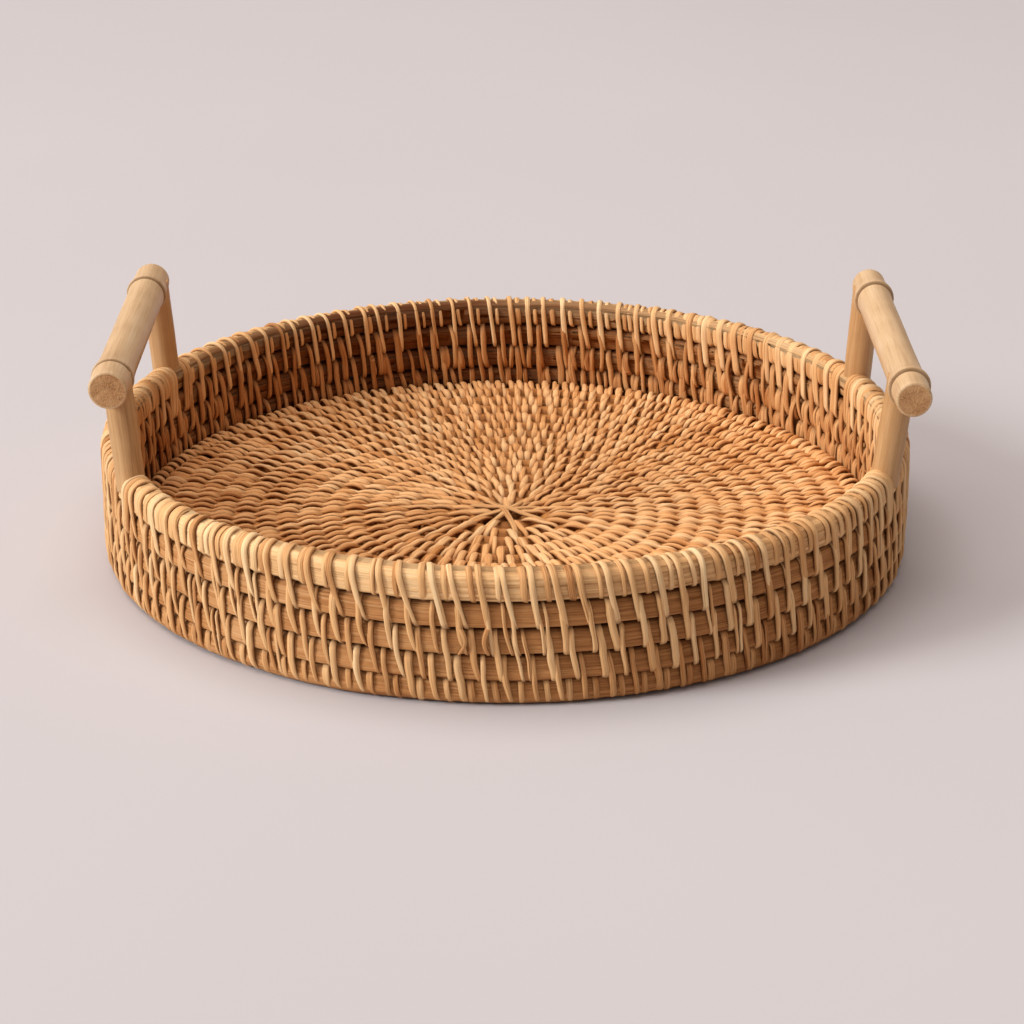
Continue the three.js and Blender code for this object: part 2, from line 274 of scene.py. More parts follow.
def bent(line, angle):
    """A line of (radius, height), laid at the given angles, and its outward directions."""
    step = np.gradient(line, axis=0)
    step /= np.linalg.norm(step, axis=1, keepdims=True)
    normal_r, normal_z = -step[:, 1], step[:, 0]
    centre = around(line[:, 0], angle, line[:, 1])
    outward = around(normal_r, angle, normal_z)
    return centre, outward


def waves(x, rng, count, longest, shortest, round_trip=None):
    """A smooth random line over x with unit size, made of sine waves. Given the length of a round
    trip, it meets itself after one."""
    total = np.zeros_like(x)
    for _ in range(count):
        length = math.exp(rng.uniform(math.log(shortest), math.log(longest)))
        if round_trip:
            length = round_trip / max(1, round(round_trip / length))
        total += np.sin(TAU * x / length + rng.uniform(0, TAU))
    return total / math.sqrt(count)


# ---------- materials ----------

class Nodes:
    """Short helpers for one material's node tree."""

    def __init__(self, name):
        self.material = bpy.data.materials.new(name)
        self.material.use_nodes = True
        self.tree = self.material.node_tree
        self.shader = self.tree.nodes["Principled BSDF"]

    def new(self, kind, **settings):
        node = self.tree.nodes.new(kind)
        for key, value in settings.items():
            setattr(node, key, value)
        return node

    def link(self, source, target):
        self.tree.links.new(source, target)

    def attribute(self, name):
        return self.new("ShaderNodeAttribute", attribute_name=name).outputs["Vector"]

    def math(self, operation, a, b=0.0, clamp=False):
        node = self.new("ShaderNodeMath", operation=operation, use_clamp=clamp)
        for socket, value in zip(node.inputs, (a, b)):
            if isinstance(value, (int, float)):
                socket.default_value = value
            else:
                self.link(value, socket)
        return node.outputs[0]

    def weighed(self, *parts):
        """The sum of (value, weight) pairs."""
        total = None
        for value, weight in parts:
            part = self.math("MULTIPLY", value, weight)
            total = part if total is None else self.math("ADD", total, part)
        return total

    def spot(self):
        """Where a point lies on the object."""
        return self.new("ShaderNodeTexCoord").outputs["Object"]

    def scaled(self, vector, scale):
        node = self.new("ShaderNodeMapping")
        node.inputs["Scale"].default_value = scale
        self.link(vector, node.inputs["Vector"])
        return node.outputs[0]

    def noise(self, vector, scale, detail=3.0, roughness=0.55):
        node = self.new("ShaderNodeTexNoise")
        node.inputs["Scale"].default_value = scale
        node.inputs["Detail"].default_value = detail
        node.inputs["Roughness"].default_value = roughness
        self.link(vector, node.inputs["Vector"])
        return node.outputs["Fac"]

    def ramp(self, factor, stops):
        node = self.new("ShaderNodeValToRGB")
        ramp = node.color_ramp
        while len(ramp.elements) < len(stops):
            ramp.elements.new(0.5)
        for element, (at, colour) in zip(ramp.elements, stops):
            element.position = at
            element.color = (*colour, 1.0)
        self.link(factor, node.inputs["Fac"])
        return node.outputs["Color"]

    def mix(self, factor, a, b, blend="MIX"):
        node = self.new("ShaderNodeMix", data_type="RGBA", blend_type=blend)
        for socket, value in ((node.inputs[0], factor), (node.inputs[6], a), (node.inputs[7], b)):
            if isinstance(value, (int, float)):
                socket.default_value = value
            elif isinstance(value, tuple):
                socket.default_value = (*value, 1.0)
            else:
                self.link(value, socket)
        return node.outputs[2]

    def span(self, factor, low, high):
        node = self.new("ShaderNodeMapRange")
        node.inputs["To Min"].default_value = low
        node.inputs["To Max"].default_value = high
        self.link(factor, node.inputs["Value"])
        return node.outputs[0]

    def surface(self, colour, roughness, specular):
        self.link(colour, self.shader.inputs["Base Color"])
        self.link(roughness, self.shader.inputs["Roughness"])
        self.shader.inputs["Specular IOR Level"].default_value = specular

    def bump(self, height, strength, distance):
        node = self.new("ShaderNodeBump")
        node.inputs["Strength"].default_value = strength
        node.inputs["Distance"].default_value = distance
        self.link(height, node.inputs["Height"])
        self.link(node.outputs[0], self.shader.inputs["Normal"])


def rattan(name, shades, painted_shade, fibre=(0.05, 2.6, 7.0), vein=0.5, bump=0.7):
    """Split or peeled rattan. shades are its dark, middle and pale colours, the colour after them is
    painted shade laid in gaps and down cut sides, fibre is the grain's fineness along, across and by
    seed."""
    dark, middle, pale = shades
    m = Nodes(name)
    grain = m.attribute("grain")
    parts = m.new("ShaderNodeSeparateXYZ")
    m.link(m.attribute("tone_and_shade"), parts.inputs[0])
    tone, edge, out_of_shade = parts.outputs
    fine = m.noise(m.scaled(grain, fibre), 1.0, 5.0, 0.65)
    streak = m.noise(m.scaled(grain, (0.02, 0.75, 3.0)), 1.0, 2.0)
    cloud = m.noise(m.spot(), 30.0, 3.0)
    paleness = m.math("SUBTRACT", tone, 0.65)
    shade = m.weighed((fine, 0.5), (streak, 0.35), (cloud, 0.3), (paleness, 0.45))
    colour = m.ramp(shade, [(0.28, dark), (0.52, middle), (0.78, pale)])
    line = m.noise(m.scaled(grain, (0.035, 2.3, 11.0)), 1.0, 3.0)
    line = m.ramp(line, [(0.30, (0.40, 0.26, 0.15)), (0.44, (1.0, 1.0, 1.0))])
    colour = m.mix(vein, colour, line, "MULTIPLY")
    # Painted shade: mix towards the shade colour where the mesh marks a gap, a groove or a tucked end,
    # and down a strip's cut sides.
    shade_amount = m.math("SUBTRACT", 1.0, out_of_shade, True)
    shade_amount = m.math("MAXIMUM", shade_amount, m.math("MULTIPLY", edge, 0.95), True)
    colour = m.mix(shade_amount, colour, painted_shade)
    m.surface(colour, m.span(fine, 0.40, 0.68), 0.16)
    height = m.math("ADD", fine, m.math("MULTIPLY", streak, 0.8))
    m.bump(height, bump, 0.0005)
    return m.material


def cane(name, dark, middle, pale):
    """Smooth natural cane: long fine streaks and a soft satin skin."""
    m = Nodes(name)
    grain = m.attribute("grain")
    fine = m.noise(m.scaled(grain, (0.05, 2.2, 1.0)), 1.0, 5.0, 0.62)
    broad = m.noise(m.scaled(grain, (0.012, 0.28, 1.0)), 1.0, 3.0)
    blotch = m.noise(m.spot(), 60.0, 3.0)
    shade = m.weighed((fine, 0.42), (broad, 0.4), (blotch, 0.22))
    colour = m.ramp(shade, [(0.3, dark), (0.52, middle), (0.74, pale)])
    vein = m.noise(m.scaled(grain, (0.03, 4.5, 5.0)), 1.0, 2.0)
    vein = m.ramp(vein, [(0.28, (0.72, 0.66, 0.6)), (0.40, (1.0, 1.0, 1.0))])
    colour = m.mix(0.5, colour, vein, "MULTIPLY")
    # Painted shade: darker where the mask marks a node groove.
    parts = m.new("ShaderNodeSeparateXYZ")
    m.link(m.attribute("tone_and_shade"), parts.inputs[0])
    colour = m.mix(m.math("SUBTRACT", 1.0, parts.outputs[2], True), colour, (0.16, 0.075, 0.03))
    m.surface(colour, m.span(fine, 0.36, 0.55), 0.4)
    m.bump(fine, 0.22, 0.0003)
    return m.material


def end_grain(name):
    """The sawn end of a cane: brown, porous, with fine dark vessels."""
    m = Nodes(name)
    spot = m.spot()
    pores = m.new("ShaderNodeTexVoronoi")
    pores.inputs["Scale"].default_value = 1500.0
    m.link(spot, pores.inputs["Vector"])
    pore = m.ramp(pores.outputs["Distance"], [(0.1, (0.3, 0.3, 0.3)), (0.42, (1.0, 1.0, 1.0))])
    cloud = m.noise(spot, 260.0, 4.0)
    colour = m.ramp(cloud, [
        (0.3, (0.46, 0.225, 0.09)), (0.55, (0.60, 0.325, 0.145)), (0.8, (0.70, 0.42, 0.21)),
    ])
    colour = m.mix(0.45, colour, pore, "MULTIPLY")
    crack = m.noise(m.scaled(spot, (90.0, 20.0, 300.0)), 1.0, 3.0)
    crack = m.ramp(crack, [
        (0.485, (1.0, 1.0, 1.0)), (0.50, (0.5, 0.4, 0.32)), (0.515, (1.0, 1.0, 1.0)),
    ])
    colour = m.mix(0.6, colour, crack, "MULTIPLY")
    m.surface(colour, m.span(cloud, 0.6, 0.85), 0.2)
    m.bump(m.math("ADD", cloud, pores.outputs["Distance"]), 0.5, 0.0003)
    return m.material


def steel(name):
    """Bright drawn wire with a little tarnish."""
    m = Nodes(name)
    cloud = m.noise(m.scaled(m.spot(), (900.0, 900.0, 900.0)), 1.0, 4.0)
    colour = m.ramp(cloud, [(0.3, (0.35, 0.33, 0.31)), (0.7, (0.56, 0.55, 0.54))])
    m.surface(colour, m.span(cloud, 0.28, 0.5), 0.5)
    m.shader.inputs["Metallic"].default_value = 1.0
    m.bump(cloud, 0.15, 0.0002)
    return m.material


# Painted shade colours, laid into gaps between rods and coils, under tucked ends and down the strips'
# sides.
PAINTED_SHADE = (0.088, 0.018, 0.0015)
FLOOR_PAINTED_SHADE = (0.22, 0.062, 0.01)
rod_finish = rattan(
    "rattan_rod", [(0.24, 0.075, 0.015), (0.57, 0.255, 0.085), (0.87, 0.52, 0.24)], PAINTED_SHADE,
    fibre=(0.02, 1.3, 7.0), vein=0.7, bump=1.0)
rim_finish = rattan(
    "rattan_rim", [(0.40, 0.15, 0.038), (0.95, 0.575, 0.26), (1.0, 0.76, 0.44)], PAINTED_SHADE,
    fibre=(0.02, 1.3, 7.0), vein=0.6, bump=1.0)
strip_finish = rattan(
    "rattan_strip", [(0.46, 0.17, 0.045), (0.84, 0.465, 0.192), (1.0, 0.70, 0.375)], PAINTED_SHADE,
    vein=0.7)
floor_finish = rattan(
    "floor_strip", [(0.60, 0.24, 0.062), (0.91, 0.48, 0.192), (0.98, 0.66, 0.34)], FLOOR_PAINTED_SHADE)
core_finish = rattan(
    "floor_core", [(0.46, 0.17, 0.04), (0.60, 0.25, 0.07), (0.70, 0.34, 0.12)], FLOOR_PAINTED_SHADE)
grip_finish = cane("grip_cane", (0.42, 0.235, 0.10), (0.66, 0.43, 0.225), (0.78, 0.57, 0.35))
post_finish = cane("post_cane", (0.34, 0.16, 0.055), (0.58, 0.325, 0.135), (0.73, 0.46, 0.225))
sawn_finish = end_grain("sawn_end")
steel_finish = steel("brad_steel")


# ---------- where round the wall ----------

def turn_from(middle, angle):
    """How far an angle is from another, within half a turn either way."""
    return (angle - middle + math.pi) % TAU - math.pi


def share_near(angle, middle, spread):
    """1 at the middle angle, falling away over the spread. All three are in radians."""
    return np.exp(-(turn_from(middle, angle) / spread) ** 2)


def darker_front_share(angle):
    """1 round the right front, where the strips of the lowest course and the foot wraps are made
    darker.
    """
    return share_near(angle, DARK_STRIPS, 0.5)


def loose_share(angle):
    """1 round the right side, where the strips inside the wall are loosest."""
    return share_near(angle, LOOSE_SIDE, 0.85)


def back_shade_share(angle):
    """1 round the left back, where the inside of the wall faces away from the light and painted shade
    is laid.
    """
    return share_near(angle, SHADED_INSIDE, 0.8)


# ---------- wall rods ----------

def rim_crown(radius):
    """How far the rim's top rises towards its inner side."""
    share = np.clip((rod_out - radius) / HOOP_WIDTH, 0, 1)
    return RIM_CROWN * np.sin(math.pi * np.clip(share / 1.3, 0, 1)) ** 1.5


def rod_section(row):
    """A rod's outline as (radius, height) from its middle: top, outer face, bottom, inner face."""
    half_w = HOOP_WIDTH / 2
    half_h = ROD_HALF_HEIGHT
    upper = RIM_CORNER if row == 0 else ROD_CORNER
    lower = FOOT_CORNER if row == LAST_ROW else SEAT_CORNER
    points = []

    def corner(cx, cz, radius, start, steps):
        for i in range(steps + 1):
            angle = start - (math.pi / 2) * i / steps
            points.append((cx + radius * math.cos(angle), cz + radius * math.sin(angle)))

    corner(half_w - upper, half_h - upper, upper, math.pi / 2, 5)
    face = np.linspace(half_h - upper, -half_h + lower, 10)[1:-1]
    points.extend((half_w, z) for z in face)
    corner(half_w - lower, -half_h + lower, lower, 0.0, 3)
    corner(-half_w + lower, -half_h + lower, lower, -math.pi / 2, 3)
    points.extend((-half_w, z) for z in -face[::-1])
    corner(-half_w + upper, half_h - upper, upper, math.pi, 5)
    return np.array(points)


def make_rod(row):
    """One hoop: a slightly uneven rod, with painted shade where it meets the next one, on its inner
    face, and round the left back inside.
    """
    name = ROWS[row]
    rng = np.random.default_rng(40 + row)
    turns = np.linspace(0, TAU, ROD_STEPS, endpoint=False)
    section = rod_section(row)
    sides = len(section)
    run = turns * rod_out / MM
    round_trip = TAU * rod_out / MM

    offset_r = waves(run, rng, 5, 160, 25, round_trip) * 0.16 * MM
    offset_z = waves(run, rng, 5, 160, 25, round_trip) * 0.13 * MM
    ridges = [waves(run, rng, 5, 90, 9, round_trip) * 0.07 * MM for _ in range(sides)]
    steady = rng.normal(0, 0.07 * MM, sides)
    lean = -section[:, 1] / (2 * ROD_HALF_HEIGHT) * ROD_LEAN
    reach = np.hypot(section[:, 0], section[:, 1])
    swell = 1 + (np.stack(ridges, axis=1) + steady) / reach
    radius = rod_mid + offset_r[:, None] + section[:, 0] * swell + lean
    height = row_z[row] + offset_z[:, None] + section[:, 1] * swell
    if row == 0:
        height += rim_crown(radius) * (section[:, 1] > 0)
    # Painted shade: darker into the gaps above and below the rod, on its inner face, and round the
    # left back where the inside faces away from the light.
    top_gap = np.clip((ROD_HALF_HEIGHT - 0.2 * MM - section[:, 1]) / (0.8 * MM), 0, 1)
    bottom_gap = np.clip((section[:, 1] + ROD_HALF_HEIGHT) / (0.5 * MM), 0, 1)
    out_of_shade = bottom_gap if row == 0 else bottom_gap * top_gap
    out_of_shade = np.tile(out_of_shade, (ROD_STEPS, 1))
    inside = section[:, 0] < -0.25 * HOOP_WIDTH
    back_shade_faces = section[:, 0] < 0.2 * HOOP_WIDTH if row == 0 else inside
    back_shade = back_shade_share(turns)[:, None] * back_shade_faces
    out_of_shade[:, inside] *= INNER_OUT_OF_SHADE
    out_of_shade *= 1 - (0.8 if row == 0 else 0.5) * back_shade
    tone = 0.62 - 0.3 * share_near(turns, DARK_STRIPS, 0.7)[:, None] - 0.5 * back_shade
    grid = around(radius, turns[:, None], height)
    perimeter = np.concatenate([[0], np.cumsum(np.linalg.norm(np.diff(section, axis=0), axis=1))])
    grain = grain_of(grid, run[:, None], perimeter / MM, 3.0 * row)
    pile = MeshPile()
    pile.add_grid(grid[::-1], grain[::-1], tone[::-1], 0.0, out_of_shade[::-1], close_along=True)
    place(pile.to_object(name + "_rod", rim_finish if row == 0 else rod_finish), "rattan_core", name)


for row in range(len(ROWS)):
    make_rod(row)


# ---------- posts and bars ----------

def post_axis(node):
    """Foot and head of a post's axis, from the ends of its tenons."""
    points = np.array([v.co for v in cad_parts[node].data.vertices])
    order = np.argsort(points[:, 2])
    return points[order[:6]].mean(axis=0), points[order[-6:]].mean(axis=0)


POSTS = ["left_front_post", "left_back_post", "right_front_post", "right_back_post"]
post_axes = {name: post_axis(name) for name in POSTS}
rim_top = row_z[0] + ROD_HALF_HEIGHT


def at_height(axis, height):
    """The point of a post's axis at a height."""
    foot, head = axis
    share = (height - foot[2]) / (head[2] - foot[2])
    return foot + (head - foot) * share


post_angles = {}
for name, axis in post_axes.items():
    foot = at_height(axis, rim_top)
    post_angles[name] = math.atan2(foot[1], foot[0])


def make_post(name):
    """A post from inside the rim to the middle of its bar."""
    rng = np.random.default_rng(sum(ord(c) for c in name))
    axis = post_axes[name]
    start = at_height(axis, row_z[0])
    end = axis[1]
    length = np.linalg.norm(end - start)
    along = (end - start) / length
    side = np.cross(along, (0.0, 1.0, 0.0))
    side /= np.linalg.norm(side)
    up = np.cross(side, along)
    steps, sides = 56, 48
    t = np.linspace(0, 1, steps)
    turn = np.linspace(0, TAU, sides, endpoint=False)
    radius = POST_RADIUS + waves(t * length, rng, 3, 0.05, 0.02) * 0.05 * MM
    oval = 1 + 0.015 * np.cos(2 * (turn + rng.uniform(0, TAU)))
    spread = radius[:, None] * oval
    grid = (start + along * (t * length)[:, None])[:, None, :]
    grid = grid + spread[..., None] * (np.cos(turn)[:, None] * side + np.sin(turn)[:, None] * up)
    run = (t * length)[:, None] / MM
    pile = MeshPile()
    pile.add_grid(grid, grain_of(grid, run, turn * POST_RADIUS / MM, rng.uniform(0, 9)), 1.0)
    place(pile.to_object(name + "_cane", post_finish), "cane_post", name)


for post in POSTS:
    make_post(post)


def make_bar(side_name):
    """A grip bar: a cane along y with a ridge and a groove at each of its two nodes."""
    node = side_name + "_grip_bar"
    rng = np.random.default_rng(5 + len(side_name))
    lo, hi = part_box(node)
    front, back = lo.y, hi.y
    x = (lo.x + hi.x) / 2
    z = (lo.z + hi.z) / 2
    nodes_at = (front + FRONT_NODE, back - BACK_NODE)
    y = [front + FRONT_ROUND * (1 - math.cos(a)) for a in np.linspace(0, math.pi / 2, 5)]
    y += list(np.linspace(y[-1] + 0.5 * MM, back - 1.1 * BACK_ROUND, 210))
    y += [back - BACK_ROUND * (1 - math.sin(a)) for a in np.linspace(0, math.pi / 2, 7)]
    extra = [n + d * MM for n in nodes_at for d in np.linspace(-1.6, 4.2, 40)]
    y = np.unique(np.round(np.array(y + extra), 6))
    body, end = BAR_BODY[side_name], BAR_END[side_name]
    radius = np.interp(y, [front, nodes_at[0], nodes_at[0] + END_TAPER, back], [end, end, body, body])
    groove = np.zeros_like(y)
    for n in nodes_at:
        d = (y - n) / MM
        ridge = np.where(d < 0.2, 0, np.exp(-np.clip(d - 1.8, 0, None) / 4.2))
        rise = np.clip((d - 0.1) / 0.5, 0, 1) * ridge
        radius += (BAR_RIDGE - np.interp(n, y, radius)) * rise * 0.95
        step = 0.06 * MM * (np.sin(TAU * d / 1.15) * np.exp(-((d - 1.9) / 1.3) ** 2))
        cut = np.exp(-(d / 0.42) ** 2)
        radius += step - NODE_GROOVE * cut
        groove = np.maximum(groove, np.exp(-(d / 0.5) ** 2))
        radius += 0.25 * MM * np.exp(-((d + 1.6) / 1.5) ** 2)
    front_edge = np.clip((y - front) / FRONT_ROUND, 0, 1)
    radius -= FRONT_ROUND * (1 - np.sqrt(1 - (1 - front_edge) ** 2))
    back_edge = np.clip((back - y) / BACK_ROUND, 0, 1)
    radius -= BACK_DROP * (1 - np.sqrt(1 - (1 - back_edge) ** 2))
    sides = 72
    turn = np.linspace(0, TAU, sides, endpoint=False)
    radius *= 1 + waves(y, rng, 3, 0.09, 0.03) * 0.004
    oval = 1 + 0.012 * np.cos(2 * (turn + rng.uniform(0, TAU)))
    sway = waves(y, rng, 2, 0.2, 0.12) * 0.15 * MM
    spread = radius[:, None] * oval
    grid = np.empty((len(y), sides, 3))
    grid[..., 0] = x + sway[:, None] + spread * np.cos(turn)
    grid[..., 1] = y[:, None]
    grid[..., 2] = z - spread * np.sin(turn)
    grain = grain_of(grid, y[:, None] / MM, turn * body / MM, rng.uniform(0, 9))
    pile = MeshPile()
    # Painted shade in the node grooves.
    pile.add_grid(grid, grain, 1.0, 0.0, 1 - 0.9 * groove[:, None])
    piece = pile.to_object(node + "_cane", grip_finish)
    piece.data.materials.append(sawn_finish)
    for polygon in piece.data.polygons:
        if len(polygon.vertices) > 4:
            polygon.material_index = 1
    place(piece, "cane_grip", node)


for side_name in ("left", "right"):
    make_bar(side_name)

for name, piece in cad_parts.items():
    if name.endswith("_brad"):
        piece.data.materials.clear()
        piece.data.materials.append(steel_finish)


# ---------- wall stitches ----------

def outer_line(upper, lower, lift):
    """From the gap above one rod, down its outer face, to the gap under another."""
    top = row_z[upper] + ROD_HALF_HEIGHT
    foot = row_z[lower] - ROD_HALF_HEIGHT
    out = rod_out + lift
    points = [
        (out - TUCK, top + OVER), (out - 1.1 * MM, top + 0.1 * MM),
        (out - 0.2 * MM, top - 0.9 * MM), (out - 0.05 * MM, top - 2.5 * MM),
        (out + 0.25 * MM, top - 8.0 * MM),
    ]
    if lower == LAST_ROW:
        points += [(out + 0.15 * MM, foot + 3.0 * MM), (out - 0.7 * MM, foot + 1.2 * MM),
                   (out - 2.8 * MM, FOOT_SEAT), (out - 4.0 * MM, FOOT_SEAT)]
    else:
        points += [(out + 0.25 * MM, foot + 2.0 * MM), (out + 0.2 * MM, foot + 0.5 * MM),
                   (out - 0.5 * MM, foot - 0.25 * MM), (out - TUCK, foot - BENEATH)]
    return smooth_line(points, OUTER_STEPS)


def inner_line(upper, lower, lift):
    """From the gap under one rod, up its inner face, to the gap above another."""
    top = row_z[upper] + ROD_HALF_HEIGHT
    foot = row_z[lower] - ROD_HALF_HEIGHT
    inn = rod_in - lift
    low = max(foot - BENEATH, FOOT_SEAT)
    points = [
        (inn + TUCK, low), (inn + 0.6 * MM, low + 0.1 * MM), (inn, low + 0.95 * MM),
        (inn, top - 1.2 * MM), (inn + 0.9 * MM, top), (inn + TUCK, top + OVER),
    ]
    return smooth_line(points, LOOP_STEPS if upper == lower else INNER_STEPS)


def rim_line(lower, lift):
    """Up the inner face, over the rim and down the outer face."""
    top = row_z[0] + ROD_HALF_HEIGHT + lift
    crown = top + RIM_CROWN
    foot = row_z[lower] - ROD_HALF_HEIGHT
    inn, out = rod_in - lift, rod_out + lift
    points = [
        (inn + TUCK, foot - BENEATH), (inn + 0.5 * MM, foot - 0.2 * MM), (inn, foot + 0.8 * MM),
        (inn, top - 2.6 * MM), (inn + 0.9 * MM, top - 0.3 * MM), (inn + 2.8 * MM, crown),
        (out - 4.2 * MM, crown - 0.2 * MM), (out - 2.2 * MM, top + 0.15 * MM),
        (out - 0.6 * MM, top - 0.75 * MM), (out, top - 2.4 * MM),
        (out + 0.2 * MM, foot + 1.6 * MM), (out + 0.1 * MM, foot + 0.5 * MM),
        (out - 0.6 * MM, foot - 0.2 * MM), (out - TUCK, foot - BENEATH),
    ]
    return smooth_line(points, RIM_STEPS if lower == 0 else LACE_STEPS)


def foot_line():
    """Round the foot rod, from the gap above its outer face to the gap above its inner face."""
    top = row_z[-1] + ROD_HALF_HEIGHT
    foot = row_z[-1] - ROD_HALF_HEIGHT
    inn, out = rod_in, rod_out
    points = [
        (out - TUCK, top + OVER), (out - 1.0 * MM, top), (out, top - 1.4 * MM),
        (out + 0.1 * MM, foot + 3.0 * MM), (out - 0.7 * MM, foot + 0.8 * MM),
        (out - 2.8 * MM, FOOT_WRAP_SEAT), (inn + 2.8 * MM, FOOT_WRAP_SEAT),
        (inn + 0.7 * MM, foot + 0.8 * MM), (inn, foot + 3.0 * MM),
        (inn, top - 1.2 * MM), (inn + TUCK, top + OVER),
    ]
    return smooth_line(points, FOOT_STEPS)


def lay_stitch(pile, line, angle, advance, width, thick, rng,
               bow=0.35, claw=0.0, belly=0.0, dull=1.0):
    """One strip along a line of (radius, height). advance is how far round it moves, bow the size of
    its chance sideways bow in millimetres, claw how much its last part hooks over and sharpens,
    belly how far its middle stands off, and dull scales its paleness."""
    samples = len(line)
    share = np.linspace(0, 1, samples)
    hook = share + claw * 1.15 * (share ** 3 - share)
    drift = advance * (hook - 0.5) + bow * MM * rng.normal() * np.sin(math.pi * share)
    drift += waves(share, rng, 2, 1.0, 0.4) * 0.12 * MM
    centre, outward = bent(line, angle + drift / rod_out)
    centre += outward * (belly * np.sin(math.pi * share) ** 2)[:, None]
    taper = 0.1 + 0.25 * claw
    ends = np.clip(np.minimum(share, 1 - share) / 0.16, 0, 1)
    shape = (1 - taper) + taper * np.sin(ends * math.pi / 2)
    shape *= 1 + waves(share, rng, 2, 0.5, 0.2) * 0.05
    shape *= 1 - 0.72 * claw * np.clip((share - 0.45) / 0.45, 0, 1) ** 1.4
    # Painted shade at both ends, where the strip tucks into a gap.
    shown = np.clip(np.minimum(share, 1 - share) * samples / 2.2 - 0.4, 0, 1)
    pile.add_strip(centre, outward, width * shape, thick * (0.5 + 0.5 * shape),
                   dull * rng.beta(5.0, 4.0), rng.uniform(0, 40), 0.25 + 0.75 * shown,
                   rng.normal(0, 0.12))


def near_post(angle, room):
    """True where a post's foot stands on the rim."""
    gaps = [abs(turn_from(post, angle)) for post in post_angles.values()]
    return min(gaps) * rod_mid < POST_RADIUS + room


def rim_run_of(angle):
    """Which of the rim's four runs of strips an angle belongs to."""
    runs = {
        "right_front_post": "right_handle_lashing", "right_back_post": "rim_binding_back",
        "left_back_post": "left_handle_lashing", "left_front_post": "rim_binding_front",
    }
    return runs[min(post_angles, key=lambda post: (angle - post_angles[post]) % TAU)]


stitch_turn = TAU / STITCH_COUNT


def slant_at(angle, rng):
    """How far a long stitch leans, and how clawed it is. The left front was pulled hardest."""
    pull = 0.5 + 0.5 * math.cos(angle - PULL_AND_SHADOW_SIDE)
    slant = rng.normal(2.5 + 1.5 * pull, 0.55) * MM
    claw = np.clip(rng.normal(1.05 * pull ** 3 - 0.08, 0.2), 0, 1)
    return slant, claw


def make_course(upper, lower, phase, seed):
    """One course of long stitches lacing two rods, outside and inside."""
    rng = np.random.default_rng(seed)
    pile = MeshPile()
    for k in range(STITCH_COUNT):
        angle = (k + phase) * stitch_turn + rng.normal(0, 0.55 * MM) / rod_out
        width = STITCH_WIDTH * rng.uniform(0.75, 1.2)
        thick = STITCH_THICK * rng.uniform(0.85, 1.12)
        lift = rng.uniform(0.0, 0.22) * MM
        slant, claw = slant_at(angle, rng)
        dull = 1.05 - darker_front_share(angle) * (0.75 if lower == LAST_ROW else 0.0)
        if rng.random() < 0.14:
            for shift in (-0.5, 0.5):
                lay_stitch(pile, outer_line(upper, lower, lift), angle + shift * width / rod_out,
                           slant - shift * 1.2 * MM, width * 0.52, thick * 0.8, rng,
                           claw=claw * 0.5, dull=dull)
        else:
            lay_stitch(pile, outer_line(upper, lower, lift), angle, slant, width, thick, rng,
                       claw=claw, dull=dull)
        inner_angle = angle + 0.5 * stitch_turn + rng.normal(0, 0.7 * MM) / rod_in
        loose = loose_share(angle)
        back_shade = back_shade_share(angle)
        # Painted shade on the inside of the wall: the inner strips and loops are made duller, less so
        # round the lit right side and more round the left back.
        lay_stitch(pile, inner_line(upper, lower, lift), inner_angle, rng.normal(2.8, 1.2) * MM,
                   width * rng.uniform(0.75, 1.1 + 0.3 * loose), thick, rng, bow=0.5 + 0.7 * loose,
                   belly=rng.uniform(0, 0.5 + loose) * MM, dull=0.45 + 0.1 * loose - 0.2 * back_shade)
        for shift in (-0.4, 0.35):
            if rng.random() < (0.35 if shift < 0 else 0.0) + 0.75 * loose:
                lay_stitch(pile, inner_line(lower, lower, lift), inner_angle + shift * stitch_turn,
                           rng.normal(1.4, 0.9) * MM,
                           width * rng.uniform(0.8, 1.0 + 0.45 * loose), thick, rng, bow=0.6,
                           belly=rng.uniform(0.2, 0.6 + 0.5 * loose) * MM,
                           dull=0.4 + 0.15 * loose - 0.2 * back_shade)
    return pile


def add_loose_end(pile):
    """A strip end that was never trimmed: it hooks out of one gap and curls back into the next."""
    rng = np.random.default_rng(75)
    share = np.linspace(0, 1, 22)
    top = row_z[1] - ROD_HALF_HEIGHT
    height = top + 1.0 * MM - (row_pitch * 1.15) * share
    arch = np.sin(math.pi * share)
    side = LOOSE_CURL * arch * (1 - 0.3 * share)
    stand = rod_out + 0.7 * MM + 1.3 * MM * arch - 3.0 * MM * np.abs(2 * share - 1) ** 8
    for shift, reach in ((0.0, 1.0), (1.3 * stitch_turn, -0.6)):
        angle = LOOSE_END + shift + reach * side / rod_out
        centre = around(stand, angle, height)
        outward = around(np.full(len(share), 1.0), angle + 0.5 * reach, np.zeros(len(share)))
        pile.add_strip(centre, outward, 1.9 * MM * (1 - 0.4 * share), 0.9 * MM, 0.35,
                       rng.uniform(0, 40), np.ones(len(share)))


# The courses under the rim: node, upper row, lower row.
LOWER_COURSES = [
    ("wall_binding_upper", 1, 2), ("wall_binding_middle", 2, 3), ("wall_binding_lower", 3, 4),
]
for index, (node, upper, lower) in enumerate(LOWER_COURSES):
    pile = make_course(upper, lower, COURSE_STEP * (index + 1), 60 + index)
    if node == "wall_binding_upper":
        add_loose_end(pile)
    place(pile.to_object(node + "_strips", strip_finish), "rattan_strip", node)


